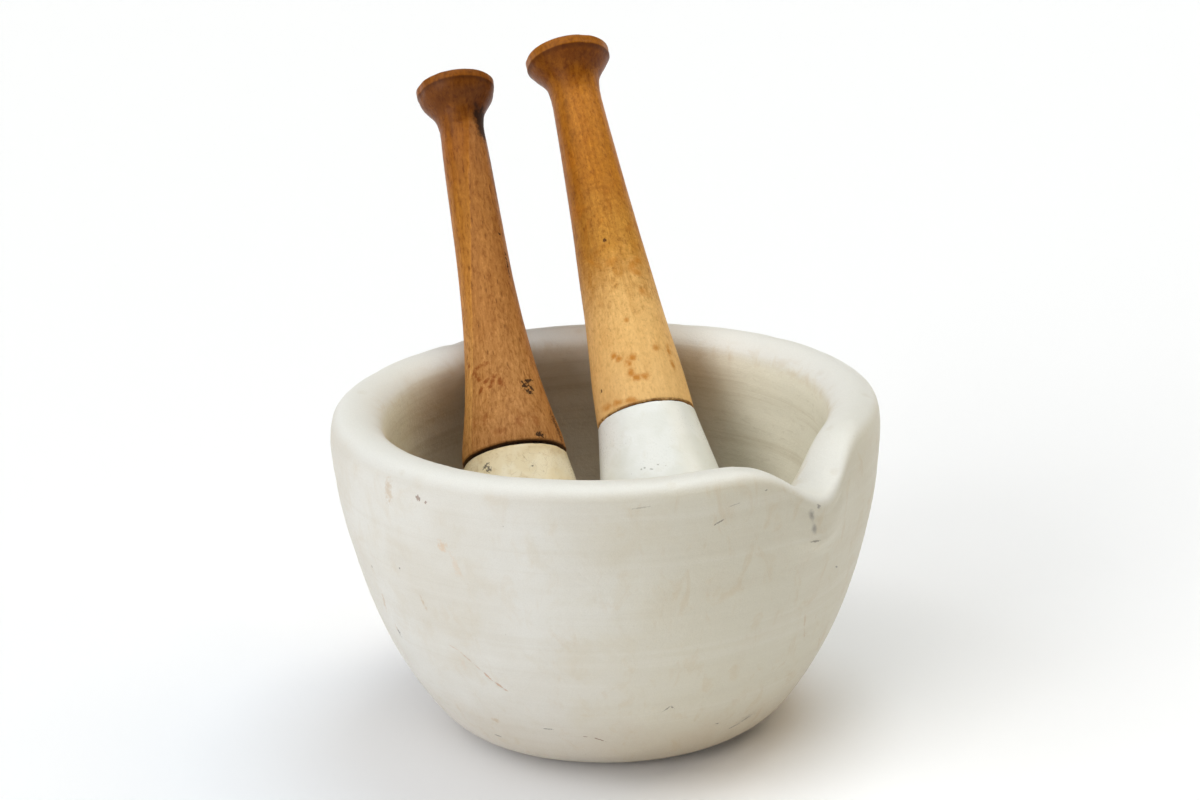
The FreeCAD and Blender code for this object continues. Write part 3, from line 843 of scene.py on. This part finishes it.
def wood_left():
    """Dark varnished wood, scorched at the neck, with curls of stain above the joint."""
    p = pestle_paint("left_handle_wood", LEFT, 0.12)
    slow = p.noise(30.0, 3.0, 0.5, stretch=(1, 1, 2.5))
    blotch = p.noise(11.0, 4.0, 0.62, 0.6, stretch=(1, 1, 1.5), shift=30.0)
    fibre = p.noise(1.5, 4.0, 0.7, stretch=(1, 1, 9.0))
    fleck = p.noise(1.7, 3.0, 0.65, 0.3, stretch=(1, 1, 2.3), shift=21.0)
    grit = p.noise(0.9, 2.0, 0.6, stretch=(1, 1, 1.6), shift=11.0)
    shaft = p.ease(p.z, 188.0, 172.0)
    # growth layers lie across the shaft and run a little out of line with its axis
    across = p.add(p.sub(p.y, p.mul(p.sub(p.z, 150.0), 0.123)), -2.3)
    across = p.stir(p.stir(p.add(across, p.mul(p.x, 0.10)), slow, 2.5), fibre, 1.2)
    lines = growth_lines(p, across, 0.42)

    honey, amber, umber = (196, 142, 76), (166, 106, 34), (112, 62, 18)
    p.colour = wood_base(p, [(0, (178, 128, 72)), (35, honey), (90, (178, 118, 48)),
                             (130, amber), (168, (152, 90, 26)), (190, umber)], blotch)
    # one side of the shaft browner: partly the wood's own colour, partly painted shade
    p.coat((172, 116, 64), p.ease(across, -0.4, 0.6), shaft, 0.55)
    p.dye(DARKER, p.ease(lines, 0.45, 0.62), 0.24)
    # a pale line along the edge of the browner side: painted highlight
    painted_highlight_line = p.mul(p.mul(p.ease(across, 0.75, -0.05), p.ease(across, -1.2, -0.2)), shaft)
    p.dye(PALER, painted_highlight_line, p.ease(p.z, 40.0, 90.0), 0.60)
    grain = p.add(p.mul(shaft, 0.30), 0.14)
    p.dye(DARKER, p.ease(fibre, 0.50, 0.95), grain)
    p.dye(PALER, p.ease(fibre, 0.48, 0.05), p.mul(grain, 1.5))
    p.dye(DARKER, p.ease(fleck, 0.54, 0.84), 0.66)
    p.dye(PALER, p.ease(fleck, 0.46, 0.12), 0.74)
    p.dye(DARKER, p.ease(grit, 0.55, 0.95), 0.34)
    mottle = p.ease(p.z, 75.0, 12.0, 0.10, 0.34)
    p.coat((150, 88, 30), p.ease(blotch, 0.55, 0.90), mottle)
    pores = p.most(p.dots(1.7, 0.42, 0.55, (1, 1, 4.5), shift=2.0),
                   p.dots(2.6, 0.55, 0.4, (1, 1, 3.5), shift=17.0))
    p.coat((88, 44, 12), pores, 0.52)

    # the knob's edge band is paler, partly rubbed and partly painted light, with painted shadow under
    # it; the neck is scorched on its right
    knob_wear(p, blotch, 174.0, (196.4, 198.6, 198.9, 199.5), (72, 34, 8))
    # paler band: partly rubbed, partly painted light
    band = p.mul(p.ease(p.z, 198.8, 199.8), p.ease(p.z, 203.4, 202.2))
    p.coat((158, 92, 24), band, p.ease(fleck, 0.9, 0.2, 0.25, 0.60))
    crown = p.ease(p.z, 202.6, 203.8)
    p.coat((92, 48, 16), crown, 0.6)
    scorch = p.most(
        shaft_mark(p, 179.0, 70.0, 8.0, 15.0, 6, ragged=0.35, grain=3.0, soft=0.6),
        shaft_mark(p, 158.0, 90.0, 5.0, 32.0, 0, 0.6, ragged=0.3, grain=4.0, soft=1.0))
    p.coat((34, 18, 12), scorch, 0.92)

    brush = {"ragged": 0.6, "grain": 1.8, "soft": 0.7}
    curls = p.most(
        strokes(p, [
            (1.8, [(42.8, -44.0), (44.8, -36.0), (46.2, -24.0), (45.8, -11.0)]),
            (1.6, [(44.0, -39.0), (40.0, -34.0), (38.0, -28.0)]),
            (1.9, [(31.0, -30.0), (35.0, -25.0), (38.2, -12.0), (37.6, 0.0), (32.0, 5.0)]),
            (1.6, [(37.6, -9.0), (33.6, -9.0), (32.4, -15.0)]),
            (1.6, [(51.4, -58.0), (47.2, -50.0)])], **brush),
        shaft_marks(p, [
            (17.0, -24.0, 2.4, 4.6, 0, 0.6), (11.5, 17.0, 2.6, 4.0, 0, 0.6),
            (12.0, 38.0, 2.6, 4.0, 0, 0.6), (8.0, -6.0, 3.6, 2.6, 0, 0.5),
            (16.0, -40.0, 2.0, 4.0, 0, 0.5)], **brush))
    p.coat((132, 66, 12), curls, p.ease(fleck, 0.1, 0.5, 0.6, 1.0), 0.80)
    black = shaft_marks(p, [
        (34.2, 44.0, 3.6, 1.3, 16), (31.5, 38.0, 2.2, 1.6, 30), (28.4, 42.0, 2.4, 1.8, -16),
        (30.4, 48.0, 1.3, 1.7), (4.2, 39.0, 3.0, 1.5, -14), (115.9, 60.0, 0.9, 1.2),
        (100.0, 66.0, 0.6, 6.5), (12.0, 76.0, 2.4, 10.0, 0, 0.8)], ragged=1.2, grain=1.1)
    p.coat((36, 22, 14), black, 0.88)
    p.coat((92, 56, 28), p.ease(p.z, 3.0, 1.8), 0.35)
    p.coat((34, 20, 12), p.ease(p.z, 1.9, 1.55), 0.8)

    rough = p.stir(p.ease(p.z, 60.0, 185.0, 0.54, 0.36), fibre, 0.14)
    rough = p.add(rough, p.mul(p.most(pores, scorch, black), 0.18))
    p.bump((blotch, 0.10), (fibre, 0.08), (fleck, 0.05), (p.most(pores, p.mul(black, 0.6)), -0.10))
    return p.finish(rough)


def wood_right():
    """Pale wood, amber towards the knob, with orange stains above the joint."""
    p = pestle_paint("right_handle_wood", RIGHT, 0.12)
    slow = p.noise(36.0, 3.0, 0.5, stretch=(1, 1, 2.2), shift=60.0)
    blotch = p.noise(9.0, 4.0, 0.65, 0.7, stretch=(1, 1, 1.4), shift=71.0)
    fibre = p.noise(1.5, 4.0, 0.7, stretch=(1, 1, 10.0), shift=5.0)
    fleck = p.noise(1.6, 3.0, 0.65, 0.3, stretch=(1, 1, 1.7), shift=44.0)
    grit = p.noise(0.9, 2.0, 0.6, stretch=(1, 1, 1.5), shift=13.0)
    ripple = p.noise(4.2, 3.0, 0.6, 1.0, stretch=(2.2, 2.2, 0.8), shift=25.0)
    shaft = p.ease(p.z, 190.0, 174.0)
    across = p.stir(p.add(p.y, p.mul(p.x, -0.25)), slow, 4.0)
    across = p.add(across, p.stir(p.mul(p.z, 0.03), fibre, 1.4))
    lines = growth_lines(p, across, 0.4)

    straw, amber, umber = (236, 192, 126), (182, 116, 30), (120, 64, 10)
    p.colour = wood_base(p, [(0, straw), (44, (232, 186, 116)), (92, (194, 136, 52)),
                             (130, amber), (172, (186, 118, 36)), (196, umber)], blotch)
    # one side of the shaft darker amber: partly handling stain, partly painted shade
    stained_and_shaded_side = p.ease(p.stir(p.y, slow, 8.0), 0.0, -14.0)
    p.coat((128, 74, 8), stained_and_shaded_side, p.ease(p.z, 30.0, 110.0, 0.10, 0.50))
    grain = p.ease(p.z, 10.0, 110.0, 0.12, 0.40)
    p.dye(DULLER, p.ease(lines, 0.45, 0.62), grain)
    p.dye(DARKER, p.ease(fibre, 0.52, 0.95), grain)
    p.dye(PALER, p.ease(fibre, 0.48, 0.08), p.mul(grain, shaft))
    middle = p.mul(p.ease(p.z, 36.0, 80.0), p.ease(p.z, 170.0, 130.0))
    p.dye(DARKER, p.ease(ripple, 0.5, 0.95), middle, 0.40)
    p.dye(PALER, p.ease(ripple, 0.5, 0.05), middle, 0.34)
    p.coat((176, 104, 20), p.ease(blotch, 0.52, 0.95), grain)
    spread = p.ease(p.z, 10.0, 110.0, 0.20, 0.52)
    p.dye(DARKER, p.ease(fleck, 0.54, 0.86), p.mul(spread, 1.2))
    p.dye(PALER, p.ease(fleck, 0.46, 0.12), p.mul(spread, 1.25))
    p.dye(DARKER, p.ease(grit, 0.55, 0.95), p.mul(spread, 0.7))
    specks = p.most(p.dots(1.9, 0.55, 0.5, (1, 1, 1.8), shift=4.0),
                    p.dots(3.1, 0.62, 0.45, (1, 1, 1.5), shift=19.0))
    specks = p.mul(specks, p.ease(blotch, 0.25, 0.70))
    p.coat((112, 62, 14), specks, p.mul(spread, 0.85))

    # the knob's edge band is paler, partly rubbed and partly painted light, with painted shadow under
    # it and a thumb's dirt lower down
    knob_wear(p, blotch, 176.0, (197.0, 199.0, 199.4, 200.0), (78, 36, 6))
    # paler band: partly rubbed, partly painted light
    band = p.mul(p.ease(p.z, 199.3, 200.2), p.ease(p.z, 204.6, 203.4))
    p.coat((182, 112, 30), band, p.ease(fleck, 0.9, 0.2, 0.30, 0.62))
    smear = {"ragged": 0.9, "grain": 3.0, "soft": 0.9}
    thumb = p.most(stroke(p, 2.4, [(176.0, -24.0), (168.0, -30.0), (161.0, -25.0)], **smear),
                   shaft_mark(p, 152.0, -26.0, 2.2, 5.0, **smear))
    p.coat((104, 54, 8), thumb, 0.42)

    wet = {"ragged": 0.45, "grain": 3.0, "soft": 1.0}
    stains = p.most(
        strokes(p, [
            (2.9, [(28.5, -27.0), (27.4, -20.0), (24.5, -17.0)]),
            (3.3, [(25.0, 2.0), (23.6, -6.0), (19.5, -6.5), (14.0, -5.0)]),
            (3.0, [(14.0, -6.0), (12.6, 4.0), (14.0, 14.0)]),
            (2.4, [(31.5, 54.0), (23.0, 51.0), (16.5, 55.0)]),
            (3.6, [(30.0, 30.0), (26.5, 36.0)], 0.8),
            (3.2, [(80.0, 50.0), (77.0, 38.0), (73.0, 24.0), (70.0, 42.0)], 0.8),
            (3.0, [(62.0, 32.0), (58.6, 40.0)], 0.7),
            (2.8, [(5.0, -58.0), (4.2, -38.0), (3.2, -22.0), (1.6, -4.0)], 0.85)], **wet),
        shaft_marks(p, [(45.0, 2.0, 1.9, 2.2, 0, 0.7), (78.0, -2.0, 5.0, 3.4, 0, 0.5)], **wet))
    p.coat((190, 114, 18), stains, 0.80)
    dark = p.most(
        shaft_mark(p, 90.6, -4.0, 1.1, 1.2, ragged=0.5, grain=1.1),
        shaft_mark(p, 14.0, -52.0, 0.7, 1.0, ragged=0.8, grain=1.1))
    p.coat((66, 30, 10), dark, 0.85)
    edge = p.mul(p.ease(p.z, 1.3, 0.7), p.ease(blotch, 0.2, 0.6))
    p.coat((120, 60, 20), edge, 0.7)

    rough = p.stir(p.ease(p.z, 40.0, 185.0, 0.54, 0.38), fibre, 0.14)
    rough = p.add(rough, p.mul(p.most(specks, stains), 0.1))
    p.bump((blotch, 0.08), (fibre, 0.07), (fleck, 0.04), (p.most(p.mul(specks, 0.6), dark), -0.10))
    return p.finish(rough)


def ceramic_left():
    """Yellowed glazed ceramic, crazed, with a dark smudge where a mark was."""
    p = pestle_paint("left_head_ceramic", LEFT, 0.5)
    cloud = p.noise(20.0, 3.0, 0.55)
    blotch = p.noise(5.0, 4.0, 0.65, 0.5, shift=33.0)
    fine = p.noise(0.9, 3.0, 0.6)
    p.colour = linear(233, 221, 191)
    p.coat((227, 211, 174), p.ease(cloud, 0.35, 0.65))
    p.coat((208, 182, 132), p.ease(blotch, 0.55, 0.95), 0.34)
    near_joint = p.ease(p.stir(p.z, blotch, 8.0), -9.0, -0.5)
    p.coat((200, 170, 116), near_joint, 0.35)
    net = p.node("ShaderNodeTexVoronoi", {"feature": "DISTANCE_TO_EDGE"},
                 Vector=p.mapped(p.mm, size=(3.4,) * 3), Scale=1.0).outputs["Distance"]
    net = p.mul(p.ease(net, 0.035, 0.0), p.ease(blotch, 0.4, 0.6))
    p.coat((150, 118, 74), net, 0.28)
    specks = p.most(p.dots(3.2, 0.34, 0.4), p.dots(7.0, 0.7, 0.35, shift=9.0))
    p.coat((128, 96, 60), specks, 0.6)
    smudge = p.most(
        head_marks(p, [(-7.8, -27.0, 2.0, 1.1, 34)], ragged=1.2, grain=1.0),
        head_marks(p, [(-9.9, -23.5, 1.5, 1.6, -10)], ragged=1.3, grain=1.0),
        head_marks(p, [(-12.6, 22.0, 0.7, 0.6)], ragged=1.0, grain=1.0))
    p.coat((52, 42, 34), smudge, 0.8)
    worn = p.ease(p.stir(p.z, blotch, 16.0), -62.0, -80.0)
    p.coat((168, 156, 130), worn, 0.5)
    p.coat((120, 92, 60), p.ease(p.radius, 14.0, 12.4), 0.6)
    rough = p.stir(p.ease(cloud, 0.3, 0.7, 0.30, 0.40), fine, 0.14)
    rough = p.add(rough, p.mul(worn, 0.3))
    p.bump((blotch, 0.10), (fine, 0.03), (p.most(specks, net), -0.06))
    return p.finish(rough)


def ceramic_right():
    """White glazed ceramic with a row of small pits."""
    p = pestle_paint("right_head_ceramic", RIGHT, 0.5)
    cloud = p.noise(24.0, 3.0, 0.5)
    blotch = p.noise(6.0, 4.0, 0.6, 0.4, shift=12.0)
    fine = p.noise(0.9, 3.0, 0.6)
    p.colour = linear(235, 237, 234)
    p.coat((230, 232, 227), p.ease(cloud, 0.35, 0.65))
    p.coat((216, 213, 198), p.ease(blotch, 0.55, 0.95), 0.20)
    specks = p.most(p.dots(6.0, 0.36, 0.3), p.dots(16.0, 0.8, 0.3, shift=9.0))
    p.coat((130, 122, 108), specks, 0.5)
    pits = head_marks(p, [
        (-35.6, -25.0, 0.5, 0.4), (-35.0, -15.0, 0.7, 0.4), (-34.6, -11.5, 0.5, 0.6),
        (-36.2, -6.0, 0.9, 0.5), (-34.8, 1.0, 0.5, 0.5), (-36.0, 8.0, 0.6, 0.3)],
        ragged=1.1, grain=0.9)
    p.coat((138, 136, 130), pits, 0.5)
    near_joint = p.mul(p.ease(p.z, -1.2, -0.2), p.ease(blotch, 0.4, 0.8))
    p.coat((188, 160, 116), near_joint, 0.4)
    worn = p.ease(p.stir(p.z, blotch, 16.0), -82.0, -102.0)
    p.coat((178, 172, 156), worn, 0.5)
    p.coat((130, 110, 80), p.ease(p.radius, 14.0, 12.4), 0.6)
    rough = p.stir(p.ease(cloud, 0.3, 0.7, 0.30, 0.38), fine, 0.12)
    rough = p.add(rough, p.mul(worn, 0.3))
    p.bump((blotch, 0.08), (fine, 0.02), (p.most(specks, pits), -0.10))
    return p.finish(rough)


def resin(name, side):
    """Dark brittle cement, dusty on its high spots."""
    p = pestle_paint(name, side, 0.3)
    lumps = p.noise(2.2, 4.0, 0.65, 0.4)
    fine = p.noise(0.5, 3.0, 0.6)
    p.colour = linear(30, 20, 14)
    p.coat((74, 48, 26), p.ease(lumps, 0.35, 0.7))
    p.coat((112, 82, 50), p.ease(fine, 0.5, 0.8), 0.4)
    p.bump((lumps, 0.3), (fine, 0.08))
    return p.finish(p.ease(lumps, 0.3, 0.7, 0.55, 0.8))


# ------ the object
def dress(thing, material, body, node):
    thing.data.materials.append(material)
    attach(thing, body)
    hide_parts(node)


dress(mortar(), stoneware(), "mortar", "mortar_bowl")
SIDES = {"left": LEFT, "right": RIGHT}
WOOD = {"left": wood_left, "right": wood_right}
CERAMIC = {"left": ceramic_left, "right": ceramic_right}
for hand, side in SIDES.items():
    dress(handle(f"{hand}_handle_turned", side), WOOD[hand](),
          f"{hand}_pestle", f"{hand}_pestle_handle")
for hand, side in SIDES.items():
    dress(head(f"{hand}_head_glazed", side), CERAMIC[hand](),
          f"{hand}_pestle", f"{hand}_pestle_head")
for hand, side in SIDES.items():
    dress(cement(f"{hand}_joint_cement", side), resin(f"{hand}_cement", side),
          f"{hand}_pestle", f"{hand}_pestle_cement")


# ------ studio
# name, azimuth and elevation it comes from, strength, colour
LIGHTS = [("front_low", -92.0, 22.0, 0.31, (1.0, 0.98, 0.97)),
          ("left", -122.0, 48.0, 0.215, (0.97, 0.99, 1.0)),
          ("front_high", -92.0, 74.0, 0.225, (1.0, 0.98, 0.94)),
          ("back_high", 88.0, 74.0, 0.39, (0.88, 0.96, 1.0)),
          ("back_right", 63.0, 48.0, 0.235, (1.0, 0.84, 0.60))]
CAMERA_PLACE, CAMERA_TURN = (0.8737, -0.9372, 0.5730), (71.854, 1.944, 42.449)
SENSOR_WIDTH, FOCAL_LENGTH = 36.0, 87.35
FLOOR_R, FLOOR_CORNERS = 9.0, 96


def floor():
    """A wide pale disc, in metres."""
    mesh = bpy.data.meshes.new("floor")
    turns = [2 * math.pi * k / FLOOR_CORNERS for k in range(FLOOR_CORNERS)]
    ring = [(FLOOR_R * math.cos(a), FLOOR_R * math.sin(a), 0.0) for a in turns]
    mesh.from_pydata(ring, [], [tuple(range(FLOOR_CORNERS))])
    thing = placed("floor", mesh)
    p = Paint("floor_white", Specular_IOR_Level=0.1)
    p.colour = linear(249, 250, 253)
    thing.data.materials.append(p.finish(0.9))


def soft_light(name, azimuth, elevation, strength, colour):
    """A wide far light, like a big diffused lamp, from an azimuth in the object's frame."""
    data = bpy.data.lights.new(name, "SUN")
    data.energy, data.angle, data.color = math.pi * strength, math.radians(34.0), colour
    a, e = math.radians(azimuth), math.radians(elevation)
    towards = Vector((math.cos(a) * math.cos(e), math.sin(a) * math.cos(e), math.sin(e)))
    placed(name, data).rotation_euler = towards.to_track_quat("Z", "Y").to_euler()


def world():
    """A pale room: bright low down round the horizon, dim above."""
    made = bpy.data.worlds.new("studio")
    bpy.context.scene.world = made
    made.use_nodes = True
    nodes, links = made.node_tree.nodes, made.node_tree.links
    where = nodes.new("ShaderNodeTexCoord")
    split = nodes.new("ShaderNodeSeparateXYZ")
    fall = nodes.new("ShaderNodeMapRange")
    fall.interpolation_type = "SMOOTHSTEP"
    for socket, value in zip(fall.inputs[1:5], (0.10, 0.28, 1.0, 0.032)):
        socket.default_value = value
    links.new(where.outputs["Generated"], split.inputs[0])
    links.new(split.outputs[2], fall.inputs[0])
    links.new(fall.outputs[0], nodes["Background"].inputs["Strength"])
    nodes["Background"].inputs["Color"].default_value = (1.0, 1.0, 1.0, 1.0)


def camera():
    """The photograph's point of view, in metres and degrees."""
    lens = bpy.data.cameras.new("camera")
    lens.sensor_fit, lens.sensor_width, lens.lens = "HORIZONTAL", SENSOR_WIDTH, FOCAL_LENGTH
    lens.clip_end = 50.0
    thing = placed("camera", lens)
    thing.location = CAMERA_PLACE
    thing.rotation_euler = Euler([math.radians(a) for a in CAMERA_TURN], "XYZ")
    bpy.context.scene.camera = thing


floor()
for light in LIGHTS:
    soft_light(*light)
world()
camera()
bpy.context.scene.view_settings.view_transform = "Standard"

bpy.context.view_layer.update()
